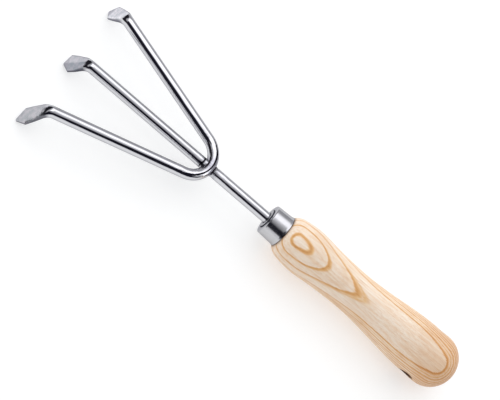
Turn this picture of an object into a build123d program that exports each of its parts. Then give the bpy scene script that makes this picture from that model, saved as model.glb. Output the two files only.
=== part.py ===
from build123d import *
import math
import os

# Three-pronged hand rake: chromed steel tines and shaft, steel ferrule, turned ash handle.
# Working frame while modelling: the shaft axis is X, the tines point towards -X, the handle
# towards +X, Z is up, and x = 0 is the front shoulder of the handle. Millimetres.

# --- steel rod and its layout -------------------------------------------------------------
ROD_DIAMETER = 7.0
TINE_HALF_ANGLE = 17.8          # each outer tine from the shaft axis, degrees
FORK_APEX_X = -25.3             # where the outer tines' centre lines would cross
FORK_BEND_RADIUS = 15.2         # centre line of the U at the root of the outer tines
FORK_RISE = 1.5                 # the fork rod sits this much above the shaft axis
OUTER_TINE_LENGTH = 134.0       # fork apex to the downward bend
CENTRE_BEND_X = -152.2          # where the centre tine turns down
TINE_BEND_RADIUS = 6.5          # centre line of that bend
WELD_GAP = 1.6                  # the coped ends stop this far short of the fork's centre

# --- forged blades ------------------------------------------------------------------------
BLADE_DROP_ANGLE = 57.0         # blade below its tine, degrees
BLADE_TIP_CURL = 8.0            # the point turns down further by this
BLADE_OUTWARD_ROLL = 14.0       # the outer blades lean outwards, degrees about their tine
# hand forging leaves each blade turned about its own length: -Y outer, centre, +Y outer
BLADE_TWIST = {-1: -12.0, 0: -25.0, 1: -12.0}
# bend corner to shoulders, shoulders to point
CENTRE_BLADE = (14.75, 5.5)
OUTER_BLADE = (15.35, 7.15)
# width and thickness of the rolled section
BLADE_ROOT = (7.06, 7.06)
BLADE_NECK = (8.0, 5.4)
BLADE_MIDDLE = (9.3, 3.8)
BLADE_SHOULDER = (10.7, 3.0)
BLADE_POINT = (1.8, 1.5)
EDGE_ROUNDING = 0.42            # corner radius as a share of the blade's thickness
SECTION_FLAT = 0.02             # least half width of a flat between two corners

# --- shaft and tang -----------------------------------------------------------------------
TANG_DEPTH = 72.0               # tang length inside the handle
TANG_TIP_TAPER = 5.0
TANG_TIP_DIAMETER = 4.0
GLUE_THICKNESS = 0.25           # epoxy all round the tang

# --- welds --------------------------------------------------------------------------------
WELD_REACH = 2.2                # fillet length along the rod, from the fork's surface
WELD_HEIGHT = 1.3               # fillet height at the fork
WELD_FEATHER = 0.15             # fillet height at its thin end
WELD_START = 0.05               # the fillet begins this far from the fork's centre line

# --- ferrule ------------------------------------------------------------------------------
FERRULE_LENGTH = 13.2
FERRULE_FRONT_RADIUS = 9.9
FERRULE_REAR_RADIUS = 10.4
FERRULE_LIP_RADIUS = 10.75
FERRULE_LIP_LENGTH = 0.8
FERRULE_LIP_START = 1.2         # the wall flares to the lip from here to the rear edge
FERRULE_WALL = 0.9
FERRULE_CORNER = 1.6
CORNER_BULGE = 0.3              # where the corner's middle lies, as a share of the corner
FERRULE_DOME = 0.7              # the front face stands proud of its rim by this
COLLAR_RADIUS = 6.3             # small coined step round the shaft
COLLAR_HEIGHT = 0.4
SHAFT_CLEARANCE = 0.1

# --- handle -------------------------------------------------------------------------------
HANDLE_LENGTH = 140.7
SHOULDER_RADIUS = 10.8
SHOULDER_SLOPE = 1.6            # radius gained per length where the handle leaves the ferrule
# station along the handle and radius: front swell, waist, palm swell
HANDLE_PROFILE = [
    (3.0, 13.2),
    (9.0, 14.8),
    (18.0, 15.5),
    (30.0, 14.6),
    (42.0, 13.8),
    (57.0, 13.4),
    (75.0, 14.4),
    (93.0, 16.3),
    (108.0, 17.45),
]
PALM_RADIUS = 17.7              # largest radius, where the rounded end begins
PALM_X = 124.0
END_STEPS = 6                   # curve points along the rounded end
TENON_CLEARANCE = 0.05          # handle tenon inside the ferrule

# --- hanging hole -------------------------------------------------------------------------
HANG_HOLE_X = 116.5
HANG_HOLE_DIAMETER = 9.0
HANG_HOLE_CHAMFER = 1.0
CHAMFER_INSET = 0.5             # the mouth cones begin this much deeper than the chamfer
MOUTH_CONE = 4.0                # length and flare of the cones that cut the mouths
HANG_HOLE_TILT = 25.0           # hole axis below horizontal on the -Y side, degrees

ROD_RADIUS = ROD_DIAMETER / 2
SIDES = (-1, 1)


def unit(angle_deg, side):
    """Direction of an outer tine, from the fork towards its blade."""
    angle = math.radians(angle_deg)
    return Vector(-math.cos(angle), side * math.sin(angle), 0)


class Tine:
    """Centre line of one tine's bend and blade, worked out from its corner and direction."""

    def __init__(self, corner, along, roll_deg, twist_deg, lengths):
        blade_length, point_length = lengths
        down = Vector(0, 0, -1)
        sideways = Vector(0, 0, 1).cross(along)
        roll = math.radians(roll_deg)
        drop = down * math.cos(roll) + sideways * math.sin(roll)
        self.across = sideways * math.cos(roll) - down * math.sin(roll)
        angle = math.radians(BLADE_DROP_ANGLE)
        curl = math.radians(BLADE_TIP_CURL)
        self.along = along
        self.blade_dir = along * math.cos(angle) + drop * math.sin(angle)
        twist_axis = Axis((0, 0, 0), self.blade_dir)
        self.blade_across = self.across.rotate(twist_axis, twist_deg)
        inward_face = (drop * math.cos(angle) - along * math.sin(angle)).rotate(
            twist_axis, twist_deg)
        self.tip_dir = self.blade_dir * math.cos(curl) + inward_face * math.sin(curl)
        tangent_length = TINE_BEND_RADIUS * math.tan(angle / 2)
        self.bend_start = corner - along * tangent_length
        self.bend_end = corner + self.blade_dir * tangent_length
        inward = (self.blade_dir - along).normalized()
        centre = corner + inward * (TINE_BEND_RADIUS / math.cos(angle / 2))
        self.bend_middle = centre - inward * TINE_BEND_RADIUS
        self.bend_middle_dir = (self.blade_dir + along).normalized()
        self.shoulder = corner + self.blade_dir * blade_length
        self.shoulder_dir = (self.blade_dir + self.tip_dir).normalized()
        self.middle = (self.bend_end + self.shoulder) * 0.5
        self.point = self.shoulder + self.tip_dir * point_length

    def section(self, origin, direction, size, across):
        """Rounded rectangle across the blade."""
        width, thickness = size
        plane = Plane(origin=origin, x_dir=across, z_dir=direction)
        radius = thickness * EDGE_ROUNDING
        if width == thickness:
            radius = width / 2 - SECTION_FLAT
        return plane * RectangleRounded(width, thickness, radius)

    def blade(self):
        """Rod end forged flat: round root, flared blade with two shoulders, short point."""
        body = loft([
            self.section(self.bend_start, self.along, BLADE_ROOT, self.across),
            self.section(self.bend_middle, self.bend_middle_dir, BLADE_NECK, self.across),
            self.section(self.middle, self.blade_dir, BLADE_MIDDLE, self.blade_across),
            self.section(self.shoulder, self.shoulder_dir, BLADE_SHOULDER, self.blade_across),
        ])
        point = loft([
            self.section(self.shoulder, self.shoulder_dir, BLADE_SHOULDER, self.blade_across),
            self.section(self.point, self.tip_dir, BLADE_POINT, self.blade_across),
        ], ruled=True)
        return body + point


def rod_between(start, end):
    """Straight round rod."""
    direction = (end - start).normalized()
    return Plane(origin=start, z_dir=direction) * Cylinder(
        ROD_RADIUS, (end - start).length, align=(Align.CENTER, Align.CENTER, Align.MIN))


def make_outer_tines():
    """One rod bent into a fork, with both ends turned down and forged flat."""
    apex = Vector(FORK_APEX_X, 0, FORK_RISE)
    tines = {}
    for side in SIDES:
        along = unit(TINE_HALF_ANGLE, side)
        corner = apex + along * OUTER_TINE_LENGTH
        roll = -side * BLADE_OUTWARD_ROLL
        tines[side] = Tine(corner, along, roll, BLADE_TWIST[side], OUTER_BLADE)
    half_angle = math.radians(TINE_HALF_ANGLE)
    u_tangent = FORK_BEND_RADIUS / math.tan(half_angle)
    u_start = apex + tines[-1].along * u_tangent
    u_end = apex + tines[1].along * u_tangent
    crown = Vector(fork_crown_x(), 0, FORK_RISE)
    path = Wire([
        Line(tines[-1].bend_start, u_start).edge(),
        ThreePointArc(u_start, crown, u_end).edge(),
        Line(u_end, tines[1].bend_start).edge(),
    ])
    start = Plane(origin=tines[-1].bend_start, z_dir=-tines[-1].along)
    rod = sweep(start * Circle(ROD_RADIUS), path=path)
    return rod + tines[-1].blade() + tines[1].blade()


def fork_crown_x():
    """X of the U's centre line at its nearest point to the handle."""
    half_angle = math.radians(TINE_HALF_ANGLE)
    return FORK_APEX_X - FORK_BEND_RADIUS / math.sin(half_angle) + FORK_BEND_RADIUS


def make_centre_tine(fork):
    """Straight middle tine, coped over the fork rod at its root."""
    corner = Vector(CENTRE_BEND_X, 0, 0)
    tine = Tine(corner, Vector(-1, 0, 0), 0, BLADE_TWIST[0], CENTRE_BLADE)
    root = Vector(fork_crown_x() - WELD_GAP, 0, 0)
    return rod_between(root, tine.bend_start) + tine.blade() - fork


def make_shaft(fork):
    """Rod from the fork into the handle; its buried end tapers to a blunt tang."""
    start = Vector(fork_crown_x() + WELD_GAP, 0, 0)
    taper_start = Vector(TANG_DEPTH - TANG_TIP_TAPER, 0, 0)
    tip = Plane(origin=taper_start, z_dir=(1, 0, 0)) * Cone(
        ROD_RADIUS, TANG_TIP_DIAMETER / 2, TANG_TIP_TAPER,
        align=(Align.CENTER, Align.CENTER, Align.MIN))
    return rod_between(start, taper_start) + tip - fork


def make_weld(side, fork, rod):
    """Weld fillet round a rod end where it meets the fork: side -1 front, +1 rear."""
    start_x = fork_crown_x() + side * WELD_START
    length = ROD_RADIUS + WELD_REACH
    bead = Plane(origin=(start_x, 0, 0), z_dir=(side, 0, 0)) * Cone(
        ROD_RADIUS + WELD_HEIGHT, ROD_RADIUS + WELD_FEATHER, length,
        align=(Align.CENTER, Align.CENTER, Align.MIN))
    bead = bead - fork - rod
    solids = bead.solids().sort_by(SortBy.VOLUME)
    return solids[-1]


def turned(outline):
    """Solid turned about the X axis from a closed outline in the XZ plane."""
    return revolve(Plane.XZ * make_face(outline), axis=Axis.X)


def make_ferrule():
    """Pressed steel cap: domed front face with a coined step round the shaft hole."""
    front = -FERRULE_LENGTH
    hole = ROD_RADIUS + SHAFT_CLEARANCE
    inner_front = FERRULE_FRONT_RADIUS - FERRULE_WALL
    inner_rear = FERRULE_REAR_RADIUS - FERRULE_WALL
    rim = front + FERRULE_DOME
    corner_middle = FERRULE_CORNER * CORNER_BULGE
    outline = Polyline(
        (front, hole),
        (front, COLLAR_RADIUS - COLLAR_HEIGHT),
        (front + COLLAR_HEIGHT, COLLAR_RADIUS),
        (rim, FERRULE_FRONT_RADIUS - FERRULE_CORNER),
        (rim + corner_middle, FERRULE_FRONT_RADIUS - corner_middle),
        (rim + FERRULE_CORNER, FERRULE_FRONT_RADIUS),
        (-FERRULE_LIP_START, FERRULE_REAR_RADIUS),
        (-FERRULE_LIP_LENGTH, FERRULE_LIP_RADIUS),
        (0, FERRULE_LIP_RADIUS),
        (0, inner_rear),
        (rim + FERRULE_WALL, inner_front),
        (rim + FERRULE_WALL, hole),
        close=True)
    return turned(outline)


def rounded_end_points():
    """Quarter ellipse from the palm swell to the tip of the handle."""
    points = []
    for step in range(END_STEPS):
        angle = math.pi / 2 * step / END_STEPS
        x = PALM_X + (HANDLE_LENGTH - PALM_X) * math.sin(angle)
        points.append((x, PALM_RADIUS * math.cos(angle)))
    return points + [(HANDLE_LENGTH, 0)]


def tenon_front_x():
    """X of the tenon's front face, just behind the ferrule's front wall."""
    return -FERRULE_LENGTH + FERRULE_DOME + FERRULE_WALL + TENON_CLEARANCE


def tang_bore():
    """Blind bore along the handle's axis, wider than the tang by the glue all round."""
    front = tenon_front_x()
    return Plane(origin=(front, 0, 0), z_dir=(1, 0, 0)) * Cylinder(
        ROD_RADIUS + GLUE_THICKNESS, TANG_DEPTH - front + GLUE_THICKNESS,
        align=(Align.CENTER, Align.CENTER, Align.MIN))


def make_handle():
    """Turned ash handle with a tenon for the ferrule, a blind tang bore and a hanging hole."""
    tenon_front = tenon_front_x()
    tenon_front_radius = FERRULE_FRONT_RADIUS - FERRULE_WALL - TENON_CLEARANCE
    tenon_rear_radius = FERRULE_REAR_RADIUS - FERRULE_WALL - TENON_CLEARANCE
    stations = [(0, SHOULDER_RADIUS)] + HANDLE_PROFILE + [(PALM_X, PALM_RADIUS)]
    side = Spline(stations, tangents=[(1, SHOULDER_SLOPE), (1, 0)], tangent_scalars=(1, 1))
    end = Spline(rounded_end_points(), tangents=[(1, 0), (0, -1)], tangent_scalars=(1, 1))
    base = Polyline(
        (HANDLE_LENGTH, 0),
        (tenon_front, 0),
        (tenon_front, tenon_front_radius),
        (0, tenon_rear_radius),
        (0, SHOULDER_RADIUS))
    return turned([base, side, end]) - tang_bore() - hanging_hole()


def hanging_hole():
    """Cutter for the cross hole with a chamfer at both mouths."""
    tilt = math.radians(HANG_HOLE_TILT)
    direction = Vector(0, -math.cos(tilt), -math.sin(tilt))
    centre = Vector(HANG_HOLE_X, 0, 0)
    radius = HANG_HOLE_DIAMETER / 2
    through = 4 * PALM_RADIUS
    cutter = Plane(origin=centre, z_dir=direction) * Cylinder(radius, through)
    mouth_depth = PALM_RADIUS - HANG_HOLE_CHAMFER - CHAMFER_INSET
    for sign in SIDES:
        mouth = Plane(origin=centre + direction * (sign * mouth_depth), z_dir=direction * sign)
        cutter += mouth * Cone(radius, radius + MOUTH_CONE, MOUTH_CONE,
                               align=(Align.CENTER, Align.CENTER, Align.MIN))
    return cutter


def make_tang_glue(shaft):
    """Cured epoxy filling the gap between the tang and its bore."""
    return tang_bore() - shaft


def main():
    fork = make_outer_tines()
    centre_tine = make_centre_tine(fork)
    shaft = make_shaft(fork)
    parts = {
        "outer_tines": fork,
        "centre_tine": centre_tine,
        "shaft": shaft,
        "front_weld": make_weld(-1, fork, centre_tine),
        "rear_weld": make_weld(1, fork, shaft),
        "ferrule": make_ferrule(),
        "handle": make_handle(),
        "tang_glue": make_tang_glue(shaft),
    }
    # The finished part stands on z = 0 with x = y = 0 at the middle of its footprint.
    boxes = [shape.bounding_box() for shape in parts.values()]
    middle_x = (min(box.min.X for box in boxes) + max(box.max.X for box in boxes)) / 2
    lowest_z = min(box.min.Z for box in boxes)
    to_origin = Location((-middle_x, 0, -lowest_z))
    os.makedirs("parts", exist_ok=True)
    for name, shape in parts.items():
        export_step(to_origin * shape, f"parts/{name}.step")


main()
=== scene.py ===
import math

import bmesh
import bpy
import numpy as np
from mathutils import Matrix, Vector, noise


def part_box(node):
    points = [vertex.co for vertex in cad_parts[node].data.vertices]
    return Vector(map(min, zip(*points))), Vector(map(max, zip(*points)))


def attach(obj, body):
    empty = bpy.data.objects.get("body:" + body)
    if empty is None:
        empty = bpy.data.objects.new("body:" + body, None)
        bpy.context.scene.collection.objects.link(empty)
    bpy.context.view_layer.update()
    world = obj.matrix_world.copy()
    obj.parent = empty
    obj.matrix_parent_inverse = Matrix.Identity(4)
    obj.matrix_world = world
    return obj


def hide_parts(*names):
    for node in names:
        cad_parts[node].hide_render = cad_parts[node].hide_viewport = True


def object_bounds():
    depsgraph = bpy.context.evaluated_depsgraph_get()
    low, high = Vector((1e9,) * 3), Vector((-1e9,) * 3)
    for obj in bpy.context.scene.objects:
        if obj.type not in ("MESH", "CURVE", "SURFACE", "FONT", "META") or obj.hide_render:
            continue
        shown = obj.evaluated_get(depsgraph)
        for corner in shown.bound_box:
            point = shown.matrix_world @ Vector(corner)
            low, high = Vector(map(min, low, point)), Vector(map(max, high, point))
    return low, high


# Three-pronged hand rake: chromed rod fork and shaft, forged blades, steel ferrule and turned
# ash handle. Lengths are millimetres until a mesh is made; the working frame has the shaft
# axis along X, the tines towards -X and x = 0 at the handle's front shoulder.

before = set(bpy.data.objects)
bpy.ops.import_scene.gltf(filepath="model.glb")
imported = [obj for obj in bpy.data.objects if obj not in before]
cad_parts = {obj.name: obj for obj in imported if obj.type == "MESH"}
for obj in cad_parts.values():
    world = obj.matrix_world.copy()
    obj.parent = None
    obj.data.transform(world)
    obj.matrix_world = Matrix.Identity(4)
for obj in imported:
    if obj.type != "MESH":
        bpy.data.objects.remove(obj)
cad_low, cad_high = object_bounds()

MM = 0.001
HANDLE_LENGTH = 140.7
FERRULE_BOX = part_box("ferrule")
ORIGIN = Vector((
    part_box("handle")[1].x / MM - HANDLE_LENGTH,
    0,
    (FERRULE_BOX[0].z + FERRULE_BOX[1].z) / 2 / MM,
))

# --- rod and blades -----------------------------------------------------------------------
ROD_RADIUS = 3.5
TINE_HALF_ANGLE = math.radians(17.8)
FORK_APEX_X = -25.3
FORK_BEND_RADIUS = 15.2
FORK_RISE = 1.5
OUTER_TINE_LENGTH = 134.0
CENTRE_BEND_X = -152.2
TINE_BEND_RADIUS = 6.5
WELD_GAP = 1.6
BLADE_DROP = math.radians(57.0)
BLADE_TIP_CURL = math.radians(8.0)
BLADE_ROLL = math.radians(14.0)
BLADE_TWIST = {-1: math.radians(-12.0), 0: math.radians(-25.0), 1: math.radians(-12.0)}
# bend corner to shoulders, shoulders to point
CENTRE_BLADE = (14.75, 5.5)
OUTER_BLADE = (15.35, 7.15)
# width and thickness: plain rod, end of the bend, shoulders, point
ROUND = (7.0, 7.0)
BLADE_ROOT = (8.8, 4.6)
SHOULDER = (10.7, 3.0)
POINT = (1.8, 1.5)
EDGE_ROUNDING = 0.42        # corner radius as a share of the blade's thickness
BLADE_RIDGE = 0.55          # height of the ridge along the middle of each face
RIDGE_ROUNDING = 0.15       # how blunt that ridge is, as a share of the half width
TANG_END = 72.0
TANG_TAPER = 5.0
TANG_TIP_RADIUS = 2.0
FORK_CROWN_X = FORK_APEX_X - FORK_BEND_RADIUS / math.sin(TINE_HALF_ANGLE) + FORK_BEND_RADIUS
WELD_REACH = 5.7            # from the fork's centre line to the bead's thin end
WELD_HEIGHT = 1.3
WELD_START = 0.4
WELD_SKIN = 0.02            # the bead's thin end stands off the rod by this

# --- ferrule ------------------------------------------------------------------------------
FERRULE_LENGTH = 13.2
FERRULE_FRONT = 9.9
FERRULE_REAR = 10.4
FERRULE_LIP = 10.66
FERRULE_WALL = 0.9
FERRULE_DOME = 0.7          # the front face stands proud of its rim by this
COLLAR = 6.3                # radius of the small step round the shaft
SHAFT_CLEARANCE = 0.1

# --- handle -------------------------------------------------------------------------------
SHOULDER_RADIUS = 10.8
HANDLE_PROFILE = [
    (3.0, 13.2), (9.0, 14.8), (18.0, 15.5), (30.0, 14.6), (42.0, 13.8),
    (57.0, 13.4), (75.0, 14.4), (93.0, 16.3), (108.0, 17.45), (124.0, 17.7),
]
SHOULDER_SLOPE = 1.15       # radius gained per length where the handle leaves the ferrule
BORE_RADIUS = 3.75
BORE_CLEARANCE = 0.25       # the bore is this much deeper than the tang
TENON_FRONT = -11.55
TENON_RADII = (8.95, 9.45)  # front end, shoulder
HOLE_X = 116.5
HOLE_RADIUS = 4.5
HOLE_MOUTH = 16.2           # the hole flares from here outwards, along its axis
HOLE_TILT = math.radians(25.0)
HOLE_AXIS = Vector((0, -math.cos(HOLE_TILT), -math.sin(HOLE_TILT)))

# --- mesh fineness ------------------------------------------------------------------------
ARC_STEPS = 9               # points round each corner of a rod's or blade's section
FLAT_STEPS = 7              # points on each flat between two corners
ROD_SPACING = 6.0           # between the sections of a straight rod
BEND_STEPS = 16
BLADE_STEPS = 12
POINT_STEPS = 8
FORK_ARC_STEPS = 64
WELD_SEGMENTS, WELD_STEPS = 96, 18
OUTLINE_STEPS = 6           # points round each corner of the ferrule's outline
FERRULE_SEGMENTS = 128
HANDLE_SEGMENTS = 144
PROFILE_STEPS = 10          # points between two stations of the handle's profile
END_STEPS = 26              # points along the handle's rounded end
DRILL_SEGMENTS = 72


# --- mesh helpers -------------------------------------------------------------------------
def placed(points):
    """Points of the working frame, in metres in the frame that all parts share."""
    return [tuple((Vector(p) + ORIGIN) * MM) for p in points]


def new_mesh(name, corners, faces):
    mesh = bpy.data.meshes.new(name)
    mesh.from_pydata(corners, [], faces)
    return mesh


def link(name, data):
    """Object in the scene."""
    made = bpy.data.objects.new(name, data)
    bpy.context.scene.collection.objects.link(made)
    return made


def new_piece(name, points, faces, nodes, material, smooth_angle):
    """Finished piece from points in the working frame."""
    mesh = new_mesh(name, placed(points), faces)
    return finish_piece(name, mesh, nodes, material, smooth_angle)


def finish_piece(name, mesh, nodes, material, smooth_angle):
    """Merges doubled points, turns the normals outwards and ties the piece to the frame."""
    bm = bmesh.new()
    bm.from_mesh(mesh)
    bmesh.ops.remove_doubles(bm, verts=bm.verts, dist=1e-7)
    bmesh.ops.recalc_face_normals(bm, faces=bm.faces)
    # keeps a blade tip that is 2 thousandths of a millimetre proud inside the CAD box
    for vertex in bm.verts:
        for axis in range(3):
            vertex.co[axis] = min(max(vertex.co[axis], cad_low[axis]), cad_high[axis])
    bm.to_mesh(mesh)
    bm.free()
    mesh.shade_smooth()
    mesh.set_sharp_from_angle(angle=math.radians(smooth_angle))
    piece = link(name, mesh)
    mesh.materials.append(material)
    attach(piece, "root")
    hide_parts(*nodes)
    return piece


def ring_layout():
    """Corner pair, share of the straight between them and outward angle of each ring point."""
    layout = []
    corners = ((1, 1), (-1, 1), (-1, -1), (1, -1))
    for quarter in range(4):
        pair = corners[quarter], corners[(quarter + 1) % 4]
        for step in range(ARC_STEPS):
            layout.append((*pair, 0.0, (quarter + (step + 0.5) / ARC_STEPS) * math.pi / 2))
        for step in range(1, FLAT_STEPS + 1):
            f = step / (FLAT_STEPS + 1)
            layout.append((*pair, f, (quarter + 1 + (f - 0.5) / ARC_STEPS) * math.pi / 2))
    return layout


RING = ring_layout()
# from 0 at one edge of a blade to 1 at the other
RING_SIDES = [0.5 + 0.5 * (here[0] + (after[0] - here[0]) * f) for here, after, f, _ in RING]


def section(half_width, half_thickness, corner, ridge):
    """Rounded rectangle with a low ridge on both faces; a circle when the sizes are equal."""
    points = []
    for here, after, f, angle in RING:
        u = (half_width - corner) * (here[0] + (after[0] - here[0]) * f) + corner * math.cos(angle)
        v = (half_thickness - corner) * (here[1] + (after[1] - here[1]) * f)
        v += corner * math.sin(angle)
        away = (math.hypot(u / half_width, RIDGE_ROUNDING) - RIDGE_ROUNDING)
        points.append((u, v * (1 - ridge / half_thickness * min(1.0, away))))
    return points


def sweep(stations):
    """Skin over stations of (centre, across, normal, half width, half thickness, corner, ridge)."""
    points, faces = [], []
    count = len(RING)
    for centre, across, normal, *shape in stations:
        points += [centre + across * u + normal * v for u, v in section(*shape)]
    for i in range(len(stations) - 1):
        for j in range(count):
            k = (j + 1) % count
            faces.append((i * count + j, i * count + k, (i + 1) * count + k, (i + 1) * count + j))
    faces.append(tuple(range(count)))
    faces.append(tuple(range(len(points) - count, len(points))))
    return points, faces


def lathe(profile, segments, closed=False):
    """Surface turned about X from (x, radius) pairs; a zero radius becomes one point."""
    points, faces, rows = [], [], []
    for x, r in profile:
        if r < 1e-6:
            rows.append([len(points)] * segments)
            points.append((x, 0, 0))
            continue
        rows.append(list(range(len(points), len(points) + segments)))
        for j in range(segments):
            a = 2 * math.pi * j / segments
            points.append((x, r * math.cos(a), r * math.sin(a)))
    pairs = list(zip(rows, rows[1:]))
    if closed:
        pairs.append((rows[-1], rows[0]))
    for a, b in pairs:
        for j in range(segments):
            k = (j + 1) % segments
            corners = dict.fromkeys((a[j], a[k], b[k], b[j]))
            if len(corners) > 2:
                faces.append(tuple(corners))
    return points, faces


def rounded_outline(corners):
    """Closed outline from (x, radius, rounding) corners, each one rounded."""
    count = len(corners)
    most = 0.48  # of the side to the next corner
    made = []
    for i, (x, r, rounding) in enumerate(corners):
        here = Vector((x, r))
        before = Vector(corners[i - 1][:2]) - here
        after = Vector(corners[(i + 1) % count][:2]) - here
        a = here + before.normalized() * min(rounding, before.length * most)
        b = here + after.normalized() * min(rounding, after.length * most)
        for step in range(OUTLINE_STEPS + 1):
            f = step / OUTLINE_STEPS
            point = a * (1 - f) ** 2 + here * 2 * f * (1 - f) + b * f * f
            made.append((point.x, point.y))
    return made


def spline(stations, start_slope, end_slope):
    """Cubic through (x, radius) stations, with its slope given at both ends."""
    x = np.array([s[0] for s in stations], float)
    y = np.array([s[1] for s in stations], float)
    h = np.diff(x)
    n = len(x)
    m = np.zeros((n, n))
    rhs = np.zeros(n)
    m[0, :2] = 2 * h[0], h[0]
    rhs[0] = 6 * ((y[1] - y[0]) / h[0] - start_slope)
    m[-1, -2:] = h[-1], 2 * h[-1]
    rhs[-1] = 6 * (end_slope - (y[-1] - y[-2]) / h[-1])
    for i in range(1, n - 1):
        m[i, i - 1:i + 2] = h[i - 1], 2 * (h[i - 1] + h[i]), h[i]
        rhs[i] = 6 * ((y[i + 1] - y[i]) / h[i] - (y[i] - y[i - 1]) / h[i - 1])
    curve = np.linalg.solve(m, rhs)
    made = []
    for i in range(n - 1):
        for f in np.linspace(0, 1, PROFILE_STEPS, endpoint=False):
            a, b = 1 - f, f
            bend = ((a ** 3 - a) * curve[i] + (b ** 3 - b) * curve[i + 1]) * h[i] ** 2 / 6
            made.append((float(x[i] + f * h[i]), float(a * y[i] + b * y[i + 1] + bend)))
    return made + [(float(x[-1]), float(y[-1]))]


# --- node helpers -------------------------------------------------------------------------
class Tree:
    """Small builder for a material's or world's nodes."""

    def __init__(self, owner):
        owner.use_nodes = True
        self.tree = owner.node_tree
        self.tree.nodes.clear()

    def add(self, kind, inputs=None, **settings):
        made = self.tree.nodes.new(kind)
        for key, value in settings.items():
            setattr(made, key, value)
        for key, value in (inputs or {}).items():
            self.put(made.inputs[key], value)
        return made

    def put(self, socket, value):
        if isinstance(value, bpy.types.NodeSocket):
            self.tree.links.new(value, socket)
        else:
            socket.default_value = value

    def calc(self, operation, a, b=None, c=None):
        made = self.tree.nodes.new("ShaderNodeMath")
        made.operation = operation
        for socket, value in zip(made.inputs, (a, b, c)):
            if value is not None:
                self.put(socket, value)
        return made.outputs[0]

    def vector(self, operation, a, b=None):
        made = self.tree.nodes.new("ShaderNodeVectorMath")
        made.operation = operation
        self.put(made.inputs[0], a)
        if b is not None:
            self.put(made.inputs[1], b)
        return made.outputs["Value" if operation in ("DOT_PRODUCT", "LENGTH") else "Vector"]

    def noise(self, where, per_mm, detail=3.0, rough=0.55):
        """Noise whose grain is set by how many cells there are per millimetre of each axis."""
        place = self.vector("MULTIPLY", where, per_mm)
        made = self.add("ShaderNodeTexNoise", {
            "Vector": place, "Scale": 1.0, "Detail": detail, "Roughness": rough})
        return made.outputs["Fac"]

    def ramp(self, factor, stops):
        made = self.add("ShaderNodeValToRGB", {"Fac": factor})
        elements = made.color_ramp.elements
        while len(elements) < len(stops):
            elements.new(1.0)
        for element, (position, colour) in zip(elements, stops):
            element.position = position
            element.color = (*colour, 1)
        return made.outputs["Color"]

    def span(self, value, low, high, to_low=0.0, to_high=1.0, kind="LINEAR"):
        made = self.add("ShaderNodeMapRange", {
            "Value": value, "From Min": low, "From Max": high,
            "To Min": to_low, "To Max": to_high}, interpolation_type=kind)
        return made.outputs["Result"]

    def mix(self, factor, a, b, blend="MIX"):
        """Colour mix; the node keeps its colour sockets after those for numbers and vectors."""
        made = self.add("ShaderNodeMix", data_type="RGBA", blend_type=blend)
        self.put(made.inputs["Factor"], factor)
        self.put(made.inputs[6], a)
        self.put(made.inputs[7], b)
        return made.outputs[2]

    def mix_number(self, factor, a, b):
        made = self.add("ShaderNodeMix", {"Factor": factor, "A": a, "B": b}, data_type="FLOAT")
        return made.outputs[0]

    def tint(self, factor, colour, code):
        """Colour multiplied by a hex code, as far as the factor says."""
        return self.mix(factor, colour, rgba(code), "MULTIPLY")

    def bump(self, height, millimetres, below=None):
        made = self.add("ShaderNodeBump", {
            "Height": height, "Distance": millimetres * MM, "Strength": 1.0})
        if below is not None:
            self.put(made.inputs["Normal"], below)
        return made.outputs["Normal"]


def srgb(code):
    """Linear colour from a hex code."""
    values = [int(code[i:i + 2], 16) / 255 for i in (0, 2, 4)]
    return tuple(v / 12.92 if v <= 0.04045 else ((v + 0.055) / 1.055) ** 2.4 for v in values)


def rgba(code):
    return (*srgb(code), 1)


def surface(material, tree, **inputs):
    """Ends a material in one Principled shader; an underscore stands for a space in a name."""
    sockets = {name.replace("_", " "): value for name, value in inputs.items()}
    shader = tree.add("ShaderNodeBsdfPrincipled", sockets)
    tree.add("ShaderNodeOutputMaterial", {"Surface": shader.outputs[0]})
    return material


def working_coordinates(tree):
    """Object position in millimetres in the working frame."""
    place = tree.add("ShaderNodeTexCoord").outputs["Object"]
    return tree.add("ShaderNodeMapping", {
        "Vector": place, "Scale": (1 / MM,) * 3, "Location": tuple(-ORIGIN)}).outputs[0]


# --- materials ----------------------------------------------------------------------------
PLATING = (0.66, 0.66, 0.685)
WORN_PLATING = 0.94         # tone left in the pits
JOINT = (FORK_CROWN_X, 0.0, 0.0)
DENT_REACH = (34.0, 10.0)   # from the joint: none, full
HAZE_REACH = (8.5, 4.5)
HAZE = (0.33, 0.325, 0.37, 1)
HAZE_ROUGHNESS = 0.10
BRIGHT_BARE, DULL_BARE = (0.99, 0.96, 1.0, 1), (0.79, 0.82, 0.855, 1)
# tone of each blade, across the tool from the -Y blade to the +Y blade: darkest on the -Y blade,
# much the brightest on the +Y blade
BLADE_TONE_SPAN = (-50.0, 50.0)
BLADE_TONES = [(0.0, (0.54, 0.54, 0.55)), (0.6, (0.60, 0.60, 0.62)), (0.9, (0.96, 0.96, 0.97))]
# the centre blade's darker facet: where it begins and is full across the blade, and how far
# from the tool's middle it is gone and full
FACET_EDGE, FACET_REACH = (0.46, 0.56), (30.0, 10.0)
FACET_TONE = (0.70, 0.715, 0.74, 1)


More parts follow.
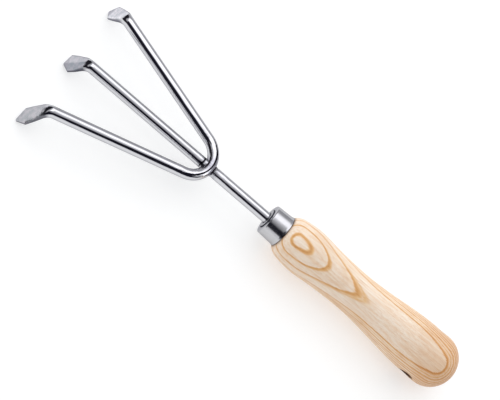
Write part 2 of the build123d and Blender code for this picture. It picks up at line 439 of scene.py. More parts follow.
def rod_material():
    """Bright plating over rod: faint waviness, drawing lines, soft smears; satin on blades."""
    material = bpy.data.materials.new("plated_rod")
    tree = Tree(material)
    place = working_coordinates(tree)
    smear = tree.noise(place, (0.05, 0.35, 0.35), detail=4.0)
    grain = tree.noise(place, (0.35, 6.0, 6.0), detail=2.0)
    pits = tree.noise(place, (1.6, 1.6, 1.6), detail=5.0, rough=0.7)
    rough = tree.span(smear, 0.3, 0.75, 0.02, 0.055)
    colour = tree.mix(tree.span(pits, 0.35, 0.75),
                      (*[value * WORN_PLATING for value in PLATING], 1), (*PLATING, 1))
    low_wave = tree.noise(place, (0.03, 0.16, 0.16), detail=1.0)
    normal = tree.bump(low_wave, 0.25)

    # dents and heat haze left by the welding
    from_joint = tree.vector("LENGTH", tree.vector("SUBTRACT", place, JOINT))
    dents = tree.calc("MULTIPLY", tree.noise(place, (0.22, 0.45, 0.45), detail=2.0),
                      tree.span(from_joint, *DENT_REACH))
    normal = tree.bump(dents, 0.16, below=normal)
    haze = tree.calc("MULTIPLY", tree.span(from_joint, *HAZE_REACH), tree.span(smear, 0.2, 0.45))
    colour = tree.mix(haze, colour, HAZE)
    rough = tree.calc("MULTIPLY_ADD", haze, HAZE_ROUGHNESS, rough)
    normal = tree.bump(grain, 0.0006, below=normal)

    # forged blades: blotched tone, a tone set for each blade, one darker facet, painted shade on
    # the edges, hammer marks, satin polish
    mask = tree.add("ShaderNodeAttribute", attribute_name="forged").outputs["Fac"]
    mask = tree.span(mask, 0.72, 0.98)
    hammer = tree.noise(place, (0.45, 0.45, 0.45), detail=2.0)
    tumbled = tree.noise(place, (4.5, 4.5, 4.5), detail=4.0, rough=0.65)
    blotch = tree.span(tree.noise(place, (0.3, 0.4, 0.4), detail=4.0), 0.40, 0.62)
    bare = tree.mix(blotch, BRIGHT_BARE, DULL_BARE)
    across = tree.add("ShaderNodeSeparateXYZ", {"Vector": place}).outputs["Y"]
    blade_tone = tree.ramp(tree.span(across, *BLADE_TONE_SPAN), BLADE_TONES)
    bare = tree.mix(1.0, bare, blade_tone, "MULTIPLY")
    facet = tree.add("ShaderNodeAttribute", attribute_name="facet").outputs["Fac"]
    facet = tree.calc("MULTIPLY", tree.span(facet, *FACET_EDGE),
                      tree.span(tree.calc("ABSOLUTE", across), *FACET_REACH))
    bare = tree.mix(facet, bare, FACET_TONE, "MULTIPLY")
    colour = tree.mix(mask, colour, bare)
    # painted shade: the blades' edges and side faces are darkened, a little unevenly, for the dark
    # they reflect
    flank = tree.add("ShaderNodeAttribute", attribute_name="flank").outputs["Fac"]
    edge_shade = tree.span(tree.calc("ADD", flank, tree.calc("MULTIPLY", tumbled, 0.2)), 0.35, 0.9)
    colour = tree.tint(edge_shade, colour, "9E9EA2")
    satin = tree.span(tumbled, 0.3, 0.7, 0.18, 0.30)
    rough = tree.mix_number(mask, rough, satin)
    normal = tree.bump(tree.calc("MULTIPLY", hammer, mask), 0.10, below=normal)
    normal = tree.bump(tree.calc("MULTIPLY", tumbled, mask), 0.008, below=normal)
    return surface(material, tree, Base_Color=colour, Metallic=1.0, Roughness=rough,
                   Normal=normal, Specular_Tint=(0.34, 0.34, 0.37, 1))


# painted shade on the beads, black in the crease and at the toe, as distances from the fork's
# surface: edge of it, full
CREASE_SHADE = (0.95, 0.65)
TOE_SHADE = (1.35, 1.65)
PAINTED_SHADE_COLOUR = (0.025, 0.025, 0.03, 1)


def weld_material():
    """Plated weld bead: rounded ripples, small pits and painted shade in the crease and at the toe.
    """
    material = bpy.data.materials.new("weld_metal")
    tree = Tree(material)
    place = working_coordinates(tree)
    lumps = tree.noise(place, (0.9, 0.9, 0.9), detail=2.0)
    pits = tree.noise(place, (3.5, 3.5, 3.5), detail=3.0)
    colour = tree.ramp(pits, [(0.3, (0.30, 0.30, 0.32)), (0.6, (0.60, 0.60, 0.63))])
    parts = tree.add("ShaderNodeSeparateXYZ", {"Vector": place}).outputs
    # distance from the fork's centre line, which is close to a parabola at the joint
    bow = tree.calc("MULTIPLY", tree.calc("POWER", parts["Y"], 2.0), 0.5 / FORK_BEND_RADIUS)
    along = tree.calc("ADD", tree.calc("SUBTRACT", parts["X"], FORK_CROWN_X), bow)
    rise = tree.calc("SUBTRACT", parts["Z"], FORK_RISE)
    off_fork = tree.calc("SQRT", tree.calc("ADD", tree.calc("POWER", along, 2.0),
                                           tree.calc("POWER", rise, 2.0)))
    off_fork = tree.calc("ADD", off_fork, tree.calc("MULTIPLY", lumps, 0.5))
    # painted shade lies in the crease behind the fork and at the front bead's outer toe
    crease, toe = (tree.span(off_fork, ROD_RADIUS + edge, ROD_RADIUS + full)
                   for edge, full in (CREASE_SHADE, TOE_SHADE))
    behind = tree.calc("GREATER_THAN", along, 0.0)
    colour = tree.mix(tree.mix_number(behind, toe, crease), colour, PAINTED_SHADE_COLOUR)
    normal = tree.bump(lumps, 0.25)
    normal = tree.bump(pits, 0.015, below=normal)
    return surface(material, tree, Base_Color=colour, Metallic=1.0,
                   Roughness=tree.span(pits, 0.3, 0.7, 0.06, 0.18), Normal=normal)


CAP_DULL, CAP_BRIGHT = (0.52, 0.52, 0.535, 1), (0.585, 0.585, 0.60, 1)
GROOVE_RADIUS = COLLAR + 0.1
GROOVE_HALF_WIDTH = (0.50, 0.34)    # edge of the painted dark ring, full
GAP_SHADE = (0.6, 0.3)               # the same for the painted shade in the gap round the shaft, off the rod
FRONT_FACE = (1.2, 1.0)             # the painted dark lies only this near to the front
REAR_RIM_SHADE = (-0.55, -0.25)           # painted shade at the edge against the wood: edge, full
PAINTED_DARK = (0.02, 0.02, 0.03, 1)
PAINTED_DARK_ROUGHNESS = 0.55


def ferrule_material():
    """Pressed and plated steel cap with faint polishing lines round it."""
    material = bpy.data.materials.new("plated_cap")
    tree = Tree(material)
    place = working_coordinates(tree)
    lines = tree.noise(place, (9.0, 0.25, 0.25), detail=3.0)
    smear = tree.noise(place, (0.12, 0.12, 0.12), detail=4.0)
    rough = tree.span(smear, 0.3, 0.7, 0.16, 0.22)
    colour = tree.mix(tree.span(smear, 0.3, 0.7), CAP_DULL, CAP_BRIGHT)
    x = tree.add("ShaderNodeSeparateXYZ", {"Vector": place}).outputs["X"]
    radius = tree.vector("LENGTH", tree.vector("MULTIPLY", place, (0.0, 1.0, 1.0)))
    groove = tree.span(tree.calc("ABSOLUTE", tree.calc("SUBTRACT", radius, GROOVE_RADIUS)),
                       *GROOVE_HALF_WIDTH)
    gap = tree.span(radius, *(ROD_RADIUS + off for off in GAP_SHADE))
    front = tree.span(x, *(off - FERRULE_LENGTH for off in FRONT_FACE))
    # painted dark reflection in the step round the shaft and painted shade in the gap at the shaft;
    # rough and not metal there, so that it stays dark
    painted_dark = tree.calc("MULTIPLY", tree.calc("MAXIMUM", groove, gap), front)
    colour = tree.mix(painted_dark, colour, PAINTED_DARK)
    # painted shade, brown, along the rim against the wood
    rear_rim_shade = tree.calc("MULTIPLY", tree.span(x, *REAR_RIM_SHADE), 0.85)
    colour = tree.mix(rear_rim_shade, colour, rgba("4A3A30"))
    normal = tree.bump(smear, 0.05)
    normal = tree.bump(lines, 0.002, below=normal)
    return surface(material, tree, Base_Color=colour, Metallic=tree.calc("SUBTRACT", 1.0, painted_dark),
                   Roughness=tree.calc("MULTIPLY_ADD", painted_dark, PAINTED_DARK_ROUGHNESS, rough),
                   Normal=normal, Specular_Tint=(0.6, 0.6, 0.63, 1))


# Growth layers cut by the turned surface. A layer's level is its distance from the axis in the
# direction that the flat-sawn face looks, plus its curve and its drift along the handle.
FACE_ANGLE = math.radians(23.6)             # of that direction, from straight up towards -Y
FACE_TURN = math.radians(4.65) / 100        # its turn per millimetre along the handle
LAYER_DRIFT = (-0.1723, 8.04e-4, -3.85e-6)  # factors of x, its square and its cube
LAYER_CURVE = -0.00475                      # of the layers across the board
# level of each growth line's crisp edge, how far it fades below that, and how strong it is
RINGS = [
    (12.78, 0.50, 0.85), (9.80, 0.85, 0.8), (5.68, 0.75, 0.8), (4.98, 0.40, 0.30),
    (0.05, 0.9, 0.8), (-1.4, 0.6, 0.4), (-2.75, 1.0, 0.75), (-4.6, 1.0, 0.6), (-6.3, 1.0, 0.8),
    (-8.6, 1.0, 0.7), (-10.6, 1.0, 0.85), (-13.1, 1.2, 0.75), (-15.6, 1.2, 0.8),
    (-18.4, 1.3, 0.8), (-21.0, 1.3, 0.8), (-24.0, 1.4, 0.8),
]
# a growth line's edge: where it begins and is full, past its level
LINE_EDGE = (0.30, -0.06)
LINE_FADE_POWER = 1.3
WANDER = 0.2                                # slow wave of the layers
RAGGEDNESS = 0.24                           # fine waviness of their edges
END_SHADE = (95.0, 142.0)                    # painted shade: the handle darkens and browns from here to its end
HOLE_TOAST = (1.5, 0.7)                     # browning round the hole's wall: edge, full
FERRULE_SHADE = (0.9, 0.0)                          # painted shade against the ferrule: edge, full


def ash_material():
    """Flat-sawn ash, ring porous: one-sided growth lines, open pores, satin lacquer."""
    material = bpy.data.materials.new("ash")
    tree = Tree(material)
    place = working_coordinates(tree)
    parts = tree.add("ShaderNodeSeparateXYZ", {"Vector": place}).outputs
    x = parts["X"]
    turn = tree.calc("MULTIPLY_ADD", x, FACE_TURN, FACE_ANGLE)
    sine, cosine = tree.calc("SINE", turn), tree.calc("COSINE", turn)
    level = tree.calc("SUBTRACT", tree.calc("MULTIPLY", parts["Z"], cosine),
                      tree.calc("MULTIPLY", parts["Y"], sine))
    aside = tree.calc("ADD", tree.calc("MULTIPLY", parts["Y"], cosine),
                      tree.calc("MULTIPLY", parts["Z"], sine))
    bow = tree.calc("MULTIPLY", tree.calc("MULTIPLY", aside, aside), LAYER_CURVE)
    drift = 0.0
    for rate in reversed(LAYER_DRIFT):
        drift = tree.calc("MULTIPLY", tree.calc("ADD", drift, rate), x)
    level = tree.calc("ADD", tree.calc("ADD", level, bow), drift)
    wander = tree.noise(place, (0.03, 0.09, 0.09), detail=2.0)
    level = tree.calc("ADD", level, tree.span(wander, 0.2, 0.8, -WANDER, WANDER))
    ragged = tree.noise(place, (0.11, 2.4, 2.4), detail=4.0, rough=0.6)
    raggedness = tree.calc("MULTIPLY", tree.span(ragged, 0.2, 0.8, -RAGGEDNESS, RAGGEDNESS),
                           tree.span(level, 10.0, 12.0, 1.0, 0.25))
    ragged_level = tree.calc("ADD", level, raggedness)

    early = 0.0
    for top, fade, strength in RINGS:
        begins, full = (top + off for off in LINE_EDGE)
        crisp = tree.span(ragged_level, begins, full, 0.0, strength, "SMOOTHSTEP")
        fading = tree.span(ragged_level, top - fade, top)
        line = tree.calc("MULTIPLY", crisp, tree.calc("POWER", fading, LINE_FADE_POWER))
        early = tree.calc("MAXIMUM", early, line)

    streaks = tree.noise(place, (0.03, 0.9, 0.9), detail=4.0, rough=0.6)
    fibres = tree.noise(place, (0.10, 5.0, 5.0), detail=3.0, rough=0.6)
    cloud = tree.noise(place, (0.02, 0.06, 0.06), detail=2.0)
    pores = tree.noise(place, (0.30, 4.2, 4.2), detail=2.0, rough=0.5)

    # faint tone of the layers between the growth lines
    pattern = tree.add("ShaderNodeCombineXYZ", {
        "X": tree.calc("MULTIPLY", x, 0.012), "Y": tree.calc("MULTIPLY", level, 1.15), "Z": 0.0})
    layers = tree.noise(pattern.outputs[0], (1.0, 1.0, 1.0), detail=3.0, rough=0.6)
    colour = tree.ramp(early, [
        (0.0, srgb("FCEEDF")), (0.25, srgb("F4D2A3")), (0.6, srgb("E7B477")),
        (1.0, srgb("D6A165"))])
    colour = tree.tint(tree.span(layers, 0.5, 0.75, 0.0, 0.30), colour, "EACDA8")
    colour = tree.tint(tree.span(streaks, 0.4, 0.7, 0.0, 0.85), colour, "F3DFC6")
    colour = tree.tint(tree.span(cloud, 0.3, 0.7, 0.0, 0.4), colour, "F0E2D4")
    colour = tree.tint(tree.span(fibres, 0.5, 0.75, 0.0, 0.6), colour, "D9B892")
    open_pores = tree.calc("MULTIPLY_ADD", early, 0.75, 0.25)
    pore_mask = tree.calc("MULTIPLY", tree.span(pores, 0.58, 0.68), open_pores)
    colour = tree.tint(tree.calc("MULTIPLY", pore_mask, 0.55), colour, "BC8F62")
    # painted shade towards the handle's end
    colour = tree.tint(tree.span(x, *END_SHADE, 0.0, 0.8), colour, "E2C29B")

    # toasted wall of the drilled hanging hole, painted shade against the ferrule
    hole_centre = (HOLE_X, 0.0, 0.0)
    to_axis = tree.vector("CROSS_PRODUCT", tree.vector("SUBTRACT", place, hole_centre),
                          tuple(HOLE_AXIS))
    hole = tree.span(tree.vector("LENGTH", to_axis), *(HOLE_RADIUS + off for off in HOLE_TOAST))
    colour = tree.mix(hole, colour, rgba("55341D"))
    ferrule_shade = tree.span(x, *FERRULE_SHADE)
    colour = tree.mix(tree.calc("MULTIPLY", ferrule_shade, 0.75), colour, rgba("8A6A50"))

    height = tree.calc("SUBTRACT", tree.calc("MULTIPLY", fibres, 0.4), pore_mask)
    normal = tree.bump(height, 0.035)
    rough = tree.calc("MULTIPLY_ADD", hole, 0.4, tree.span(streaks, 0.3, 0.7, 0.42, 0.54))
    return surface(material, tree, Base_Color=colour, Roughness=rough, Normal=normal,
                   Coat_Weight=0.12, Coat_Roughness=0.35, Specular_IOR_Level=0.4)


def epoxy_material():
    """Cured amber resin with small bubbles."""
    material = bpy.data.materials.new("epoxy")
    tree = Tree(material)
    place = working_coordinates(tree)
    bubbles = tree.add("ShaderNodeTexVoronoi", {"Vector": place, "Scale": 1.4}).outputs["Distance"]
    cloud = tree.noise(place, (0.3, 0.6, 0.6), detail=3.0)
    colour = tree.mix(cloud, rgba("C9A665"), rgba("9C7838"))
    return surface(material, tree, Base_Color=colour,
                   Roughness=tree.span(cloud, 0.3, 0.7, 0.25, 0.45),
                   Normal=tree.bump(bubbles, 0.05))


ROD_METAL = rod_material()
WELD_METAL = weld_material()
CAP_METAL = ferrule_material()
ASH = ash_material()


# --- tines --------------------------------------------------------------------------------
def rod_station(centre, direction, radius=ROD_RADIUS):
    """Round section across a rod that lies level."""
    across = Vector((0, 0, 1)).cross(direction).normalized()
    return (centre, across, Vector((0, 0, 1)), radius, radius, radius, 0.0)


def blend(a, b, f):
    return a + (b - a) * f


def blend_pair(a, b, f):
    return tuple(blend(u, v, f) for u, v in zip(a, b))


def tine_stations(corner, along, roll, twist, lengths):
    """Bend and blade from the rod's end to the point, with how forged each section is."""
    blade_length, point_length = lengths
    down = Vector((0, 0, -1))
    sideways = Vector((0, 0, 1)).cross(along)
    drop = down * math.cos(roll) + sideways * math.sin(roll)
    across = sideways * math.cos(roll) - down * math.sin(roll)
    blade_dir = along * math.cos(BLADE_DROP) + drop * math.sin(BLADE_DROP)
    turn = Matrix.Rotation(twist, 3, blade_dir)
    blade_across = turn @ across
    inward = turn @ (drop * math.cos(BLADE_DROP) - along * math.sin(BLADE_DROP))
    tip_dir = blade_dir * math.cos(BLADE_TIP_CURL) + inward * math.sin(BLADE_TIP_CURL)
    tangent = TINE_BEND_RADIUS * math.tan(BLADE_DROP / 2)
    start = corner - along * tangent
    bend_end = corner + blade_dir * tangent
    shoulder = corner + blade_dir * blade_length
    point = shoulder + tip_dir * point_length
    stations = []

    def put(centre, direction, size, amount, cross):
        width, thickness = size
        cross = (cross - direction * cross.dot(direction)).normalized()
        rounding = blend(min(size) / 2, thickness * EDGE_ROUNDING, amount)
        crown = BLADE_RIDGE * amount * min(1.0, thickness / SHOULDER[1]) ** 2
        stations.append(((centre, cross, direction.cross(cross).normalized(), width / 2,
                          thickness / 2, rounding, crown), amount))

    for step in range(BEND_STEPS + 1):
        f = step / BEND_STEPS
        a = BLADE_DROP * f
        direction = along * math.cos(a) + drop * math.sin(a)
        centre = (start + along * (TINE_BEND_RADIUS * math.sin(a))
                  + drop * (TINE_BEND_RADIUS * (1 - math.cos(a))))
        ease = f * f * (3 - 2 * f)
        cross = blend(blend(sideways, across, min(1.0, f * 2)), blade_across, ease * 0.5)
        put(centre, direction, blend_pair(ROUND, BLADE_ROOT, ease), min(1.0, ease * 1.2), cross)
    for step in range(1, BLADE_STEPS + 1):
        f = step / BLADE_STEPS
        cross = blend(blend(across, blade_across, 0.5), blade_across, min(1.0, f * 2))
        put(blend(bend_end, shoulder, f), blade_dir,
            blend_pair(BLADE_ROOT, SHOULDER, f ** 0.8), 1.0, cross)
    for step in range(1, POINT_STEPS + 1):
        f = step / POINT_STEPS
        put(blend(shoulder, point, f), tip_dir, blend_pair(SHOULDER, POINT, f), 1.0, blade_across)
    return stations


def forged_piece(name, stations, node):
    """Sweep that keeps three numbers on its points, which the material reads.

    forged is how far the rod is forged there, facet runs from one edge of the blade to the
    other, and flank is highest on the blade's edges.
    """
    points, faces = sweep([shape for shape, _ in stations])
    mesh = new_mesh(name, placed(points), faces)
    values = {
        "forged": [amount for _, amount in stations for _ in RING],
        "facet": [side for _ in stations for side in RING_SIDES],
        "flank": [amount * math.cos(angle) ** 2 for _, amount in stations for *_, angle in RING],
    }
    for key, numbers in values.items():
        mesh.attributes.new(key, "FLOAT", "POINT").data.foreach_set("value", numbers)
    return finish_piece(name, mesh, [node], ROD_METAL, 38.0)


def tine_direction(side):
    return Vector((-math.cos(TINE_HALF_ANGLE), side * math.sin(TINE_HALF_ANGLE), 0))


def straight(start, end):
    """Stations along a straight level rod, both ends included."""
    direction = (end - start).normalized()
    count = max(1, round((end - start).length / ROD_SPACING))
    return [(rod_station(blend(start, end, i / count), direction), 0.0) for i in range(count + 1)]


def build_fork():
    """Both outer tines and the U between them, in one skin."""
    apex = Vector((FORK_APEX_X, 0, FORK_RISE))
    halves = {}
    for side in (-1, 1):
        along = tine_direction(side)
        corner = apex + along * OUTER_TINE_LENGTH
        halves[side] = tine_stations(corner, along, -side * BLADE_ROLL, BLADE_TWIST[side],
                                     OUTER_BLADE)
    tangent = FORK_BEND_RADIUS / math.tan(TINE_HALF_ANGLE)
    centre = apex + Vector((-FORK_BEND_RADIUS / math.sin(TINE_HALF_ANGLE), 0, 0))
    arc = []
    half_turn = math.pi / 2 - TINE_HALF_ANGLE
    for step in range(FORK_ARC_STEPS + 1):
        a = -half_turn + 2 * half_turn * step / FORK_ARC_STEPS
        point = centre + Vector((math.cos(a), math.sin(a), 0)) * FORK_BEND_RADIUS
        arc.append((rod_station(point, Vector((-math.sin(a), math.cos(a), 0))), 0.0))
    u_start = apex + tine_direction(-1) * tangent
    u_end = apex + tine_direction(1) * tangent
    bend_starts = {side: half[0][0][0] for side, half in halves.items()}
    # sections of the -Y half are met tip first, so they are flipped
    stations = []
    for (centre, across, *rest), amount in reversed(halves[-1]):
        stations.append(((centre, -across, *rest), amount))
    stations += straight(bend_starts[-1], u_start)[1:-1]
    stations += arc
    stations += straight(u_end, bend_starts[1])[1:-1]
    stations += halves[1]
    return forged_piece("fork_rod", stations, "outer_tines")


def build_centre_tine():
    """Straight middle rod with its blade."""
    corner = Vector((CENTRE_BEND_X, 0, 0))
    blade = tine_stations(corner, Vector((-1, 0, 0)), 0.0, BLADE_TWIST[0], CENTRE_BLADE)
    root = Vector((FORK_CROWN_X - WELD_GAP, 0, 0))
    stations = straight(root, blade[0][0][0])[:-1] + blade
    return forged_piece("middle_tine", stations, "centre_tine")


def build_shaft():
    """Rod from the fork into the handle, with the tapered end of its tang."""
    start = Vector((FORK_CROWN_X + WELD_GAP, 0, 0))
    taper = Vector((TANG_END - TANG_TAPER, 0, 0))
    stations = straight(start, taper)
    tip = Vector((TANG_END, 0, 0))
    stations.append((rod_station(tip, Vector((1, 0, 0)), TANG_TIP_RADIUS), 0.0))
    return forged_piece("rod_shaft", stations, "shaft")


def build_weld(name, side, node, seed):
    """Fillet of weld metal round a rod end, with the ripples of its passes."""
    lump_scale, lump_stretch = 2.2, 1.5
    ripple_count, ripple_height = 9, 0.10
    points, faces = [], []
    for i in range(WELD_STEPS + 1):
        f = i / WELD_STEPS
        for j in range(WELD_SEGMENTS):
            a = 2 * math.pi * j / WELD_SEGMENTS
            lump = noise.noise(Vector((math.cos(a) * lump_scale, math.sin(a) * lump_scale,
                                       f * lump_stretch + seed)))
            ripple = ripple_height * math.sin(ripple_count * a + 3 * lump) * (1 - f)
            height = (WELD_HEIGHT - 0.1) * (1 - f) ** 2.0 * (0.82 + 0.3 * lump) + ripple * 0.6
            r = ROD_RADIUS + WELD_SKIN + max(0.0, height)
            x = FORK_CROWN_X + side * (WELD_START + (WELD_REACH - 0.5 + 0.5 * lump) * f)
            points.append((x, r * math.cos(a), r * math.sin(a)))
    for i in range(WELD_STEPS):
        for j in range(WELD_SEGMENTS):
            k = (j + 1) % WELD_SEGMENTS
            faces.append((i * WELD_SEGMENTS + j, i * WELD_SEGMENTS + k,
                          (i + 1) * WELD_SEGMENTS + k, (i + 1) * WELD_SEGMENTS + j))
    faces.append(tuple(range(WELD_SEGMENTS)))
    faces.append(tuple(range(WELD_STEPS * WELD_SEGMENTS, (WELD_STEPS + 1) * WELD_SEGMENTS)))
    return new_piece(name, points, faces, [node], WELD_METAL, 60.0)


# --- ferrule and handle -------------------------------------------------------------------
def build_ferrule():
    """Pressed cap from its outline: front face, step round the shaft, wall, lip and inside."""
    front = -FERRULE_LENGTH
    rim = front + FERRULE_DOME
    hole = ROD_RADIUS + SHAFT_CLEARANCE
    inner_front = FERRULE_FRONT - FERRULE_WALL
    inner_rear = FERRULE_REAR - FERRULE_WALL
    outline = rounded_outline([
        (front + 0.45, hole, 0.1),
        (front, hole + 0.7, 0.4),
        (front, COLLAR - 0.5, 0.55),
        (rim + 0.20, COLLAR + 0.25, 0.3),
        (rim, COLLAR + 1.1, 0.4),
        (rim + 0.15, FERRULE_FRONT, 0.85),
        (-1.5, FERRULE_REAR, 0.35),
        (-0.7, FERRULE_LIP, 0.3),
        (0.0, FERRULE_LIP, 0.3),
        (0.0, inner_rear, 0.15),
        (rim + FERRULE_WALL, inner_front, 0.8),
        (rim + FERRULE_WALL, hole, 0.1),
    ])
    points, faces = lathe(outline, FERRULE_SEGMENTS, closed=True)
    return new_piece("ferrule_cap", points, faces, ["ferrule"], CAP_METAL, 50.0)


def build_handle():
    """Turned handle with its tenon and bore, drilled for hanging."""
    palm_x, palm_radius = HANDLE_PROFILE[-1]
    swell = spline([(0.0, SHOULDER_RADIUS)] + HANDLE_PROFILE, SHOULDER_SLOPE, 0.0)
    for step in range(1, END_STEPS + 1):
        a = math.pi / 2 * step / END_STEPS
        x = palm_x + (HANDLE_LENGTH - palm_x) * math.sin(a)
        swell.append((x, 0.0 if step == END_STEPS else palm_radius * math.cos(a)))
    bore_end = TANG_END + BORE_CLEARANCE
    profile = [
        (bore_end, 0.0), (bore_end, BORE_RADIUS), (TENON_FRONT, BORE_RADIUS),
        (TENON_FRONT, TENON_RADII[0]), (0.0, TENON_RADII[1]), (0.0, SHOULDER_RADIUS - 0.35),
        (0.1, SHOULDER_RADIUS - 0.05)] + swell[1:]
    points, faces = lathe(profile, HANDLE_SEGMENTS)
    blank = turned_body("handle_blank", placed(points), faces)
    drill = build_drill()
    cut = blank.modifiers.new("hole", "BOOLEAN")
    cut.object = drill
    cut.operation = "DIFFERENCE"
    cut.solver = "EXACT"
    graph = bpy.context.evaluated_depsgraph_get()
    drilled = bpy.data.meshes.new_from_object(blank.evaluated_get(graph))
    bpy.data.objects.remove(blank)
    bpy.data.objects.remove(drill)
    drilled.materials.clear()
    return finish_piece("ash_handle", drilled, ["handle"], ASH, 34.0)


def build_drill():
    """Cutter for the hanging hole, flared at both mouths."""
    reach = 30.0
    flare = HOLE_RADIUS + reach - HOLE_MOUTH
    outline = [(-reach, 0.0), (-reach, flare), (-HOLE_MOUTH, HOLE_RADIUS),
               (HOLE_MOUTH, HOLE_RADIUS), (reach, flare), (reach, 0.0)]
    points, faces = lathe(outline, DRILL_SEGMENTS)
    turn = Vector((1, 0, 0)).rotation_difference(HOLE_AXIS).to_matrix()
    centre = Vector((HOLE_X, 0, 0)) + ORIGIN
    return turned_body("drill", [tuple((turn @ Vector(p) + centre) * MM) for p in points], faces)


def turned_body(name, corners, faces):
    """Plain object with its normals outwards, for one drilling."""
    mesh = new_mesh(name, corners, faces)
    bm = bmesh.new()
    bm.from_mesh(mesh)
    bmesh.ops.recalc_face_normals(bm, faces=bm.faces)
    bm.to_mesh(mesh)
    bm.free()
    return link(name, mesh)


build_fork()
build_centre_tine()
build_shaft()
build_weld("front_weld_bead", -1, "front_weld", 0.0)
build_weld("rear_weld_bead", 1, "rear_weld", 5.0)
build_ferrule()
build_handle()
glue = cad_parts["tang_glue"]
glue.data.materials.clear()
glue.data.materials.append(epoxy_material())


# --- camera -------------------------------------------------------------------------------
AZIMUTH = math.radians(-19.62)
ELEVATION = math.radians(56.31)
ROLL = math.radians(57.23)
TARGET = (ORIGIN + Vector((-27.86, 1.842, 0.0))) * MM
DISTANCE = 717.85 * MM

back = Vector((math.sin(AZIMUTH) * math.cos(ELEVATION), -math.cos(AZIMUTH) * math.cos(ELEVATION),
               math.sin(ELEVATION)))
level = Vector((math.cos(AZIMUTH), math.sin(AZIMUTH), 0))
right = level * math.cos(ROLL) + back.cross(level) * math.sin(ROLL)
camera_data = bpy.data.cameras.new("camera")
camera_data.lens = 86.4
camera_data.sensor_width = 36.0
camera_data.clip_start = 0.01
camera = link("camera", camera_data)
axes = Matrix((right, back.cross(right), back)).transposed()
camera.matrix_world = Matrix.Translation(TARGET + back * DISTANCE) @ axes.to_4x4()
bpy.context.scene.camera = camera


# --- floor and light ----------------------------------------------------------------------
def build_floor():
    """Matt pale floor that glows a little, so that shadows on it stay faint."""
    size = 12.0
    corners = [(-size, -size, 0), (size, -size, 0), (size, size, 0), (-size, size, 0)]
    mesh = new_mesh("floor", corners, [(0, 1, 2, 3)])
    floor = link("floor", mesh)
    material = bpy.data.materials.new("floor")
    mesh.materials.append(surface(
        material, Tree(material), Base_Color=(0.60, 0.60, 0.60, 1), Roughness=0.9,
        Specular_IOR_Level=0.1, Emission_Color=(1, 1, 1, 1), Emission_Strength=0.45))


def area_light(name, direction, radiance):
    """Rectangular softbox facing the object, not seen in reflections; long side along X."""
    distance, size = 2.4, (2.6, 2.2)
    data = bpy.data.lights.new(name, "AREA")
    data.shape = "RECTANGLE"
    data.size, data.size_y = size
    data.energy = radiance * math.pi * size[0] * size[1]
    light = link(name, data)
    towards = Vector(direction).normalized()
    side = Vector((1, 0, 0))
    side = (side - towards * side.dot(towards)).normalized()
    axes = Matrix((side, towards.cross(side), towards)).transposed()
    light.matrix_world = Matrix.Translation(towards * distance) @ axes.to_4x4()
    light.visible_glossy = False


# Panels that reflections see, as (degrees, brightness). The degrees turn about the X axis, from
# the horizon on the -Y side through straight up at 0 to the horizon on the +Y side.
MIDDLE_PANELS = [
    (-90, 0.95), (-75, 0.92), (-72.3, 0.010), (-38, 0.010), (-32, 0.25), (-25, 0.42), (-10, 0.62),
    (4, 0.95), (12, 1.75), (38, 1.75), (46, 1.3), (54, 0.70), (62, 0.46), (90, 0.48)]
FAR_PANELS = [
    (-90, 0.85), (-85, 0.75), (-81, 0.015), (-26, 0.012), (-19, 0.25), (-12, 0.9),
    (-5, 1.75), (36, 1.75), (44, 0.80), (54, 0.46), (90, 0.48)]
# brightness of a strip at the horizon, from the -Y side to the +Y side
HORIZON_STRIP = [
    (0.0, (0.02, 0.02, 0.022)), (0.3, (0.12, 0.12, 0.13)), (0.5, (0.40, 0.40, 0.42)),
    (0.7, (0.70, 0.70, 0.74)), (1.0, (1.2, 1.2, 1.25))]
WALL = (0.012, 0.012, 0.02, 1)
FAR_WALL = (0.02, 0.02, 0.026, 1)
FAR_CEILING = (0.55, 0.55, 0.57, 1)
FILL_BRIGHTER_TOWARDS = (-0.30, 0.48, 0.0)


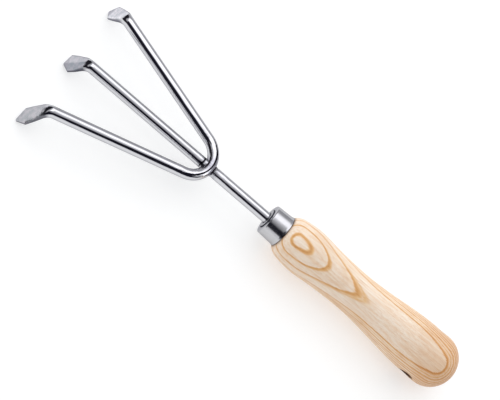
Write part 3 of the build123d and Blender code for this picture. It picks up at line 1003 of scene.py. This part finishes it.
def build_world():
    """Studio in three parts, since each kind of ray meets its own surroundings.

    Reflections meet pale and dark panels, the camera a plain pale backdrop, and everything else
    a soft fill that is brighter from one side.
    """
    world = bpy.data.worlds.new("studio")
    bpy.context.scene.world = world
    tree = Tree(world)
    path = tree.add("ShaderNodeLightPath").outputs
    direction = tree.add("ShaderNodeTexCoord").outputs["Generated"]
    parts = tree.add("ShaderNodeSeparateXYZ", {"Vector": direction}).outputs
    x_part, y_part, z_part = (parts[axis] for axis in "XYZ")
    tilt = tree.calc("ARCTAN2", y_part, z_part)
    turned = tree.span(tilt, math.radians(-90), math.radians(90))

    def panels(stops):
        return tree.ramp(turned, [((degrees + 90) / 180, (value, value, value * 1.03 + 0.008))
                                  for degrees, value in stops])

    pattern = tree.mix(tree.span(x_part, 0.02, -0.12), panels(MIDDLE_PANELS), panels(FAR_PANELS))
    # dark wall towards the handle's end, open again near the X axis and low on the -Y side
    wall = tree.calc("MULTIPLY", tree.span(x_part, 0.305, 0.36), tree.span(x_part, 0.74, 0.66))
    wall = tree.calc("MULTIPLY", wall, tree.span(tilt, math.radians(-72), math.radians(-67)))
    pattern = tree.mix(wall, pattern, WALL)
    # dark wall beyond the tines, between the lit strip at the horizon and a grey ceiling
    strip = tree.ramp(tree.span(y_part, -0.5, 0.7), HORIZON_STRIP)
    beyond = tree.mix(tree.span(z_part, 0.07, 0.13), strip, FAR_WALL)
    beyond = tree.mix(tree.span(z_part, 0.56, 0.68), beyond, FAR_CEILING)
    pattern = tree.mix(tree.span(x_part, -0.42, -0.56), pattern, beyond)

    def light(colour, strength=1.0):
        return tree.add("ShaderNodeBackground", {"Color": colour, "Strength": strength}).outputs[0]

    bias = tree.vector("DOT_PRODUCT", direction, FILL_BRIGHTER_TOWARDS)
    fill = light((0.97, 0.985, 1.0, 1), tree.calc("MULTIPLY_ADD", bias, 0.92, 0.82))
    backdrop = light((0.97, 0.97, 0.97, 1))
    a = tree.add("ShaderNodeMixShader", {0: path["Is Glossy Ray"], 1: fill, 2: light(pattern)})
    b = tree.add("ShaderNodeMixShader", {0: path["Is Camera Ray"], 1: a.outputs[0], 2: backdrop})
    tree.add("ShaderNodeOutputWorld", {"Surface": b.outputs[0]})


build_floor()
build_world()
area_light("softbox", (0.1, 0.72, 0.72), 0.5)
area_light("front_softbox", (-0.1, -0.25, 0.95), 0.6)
bpy.context.scene.view_settings.view_transform = "Standard"
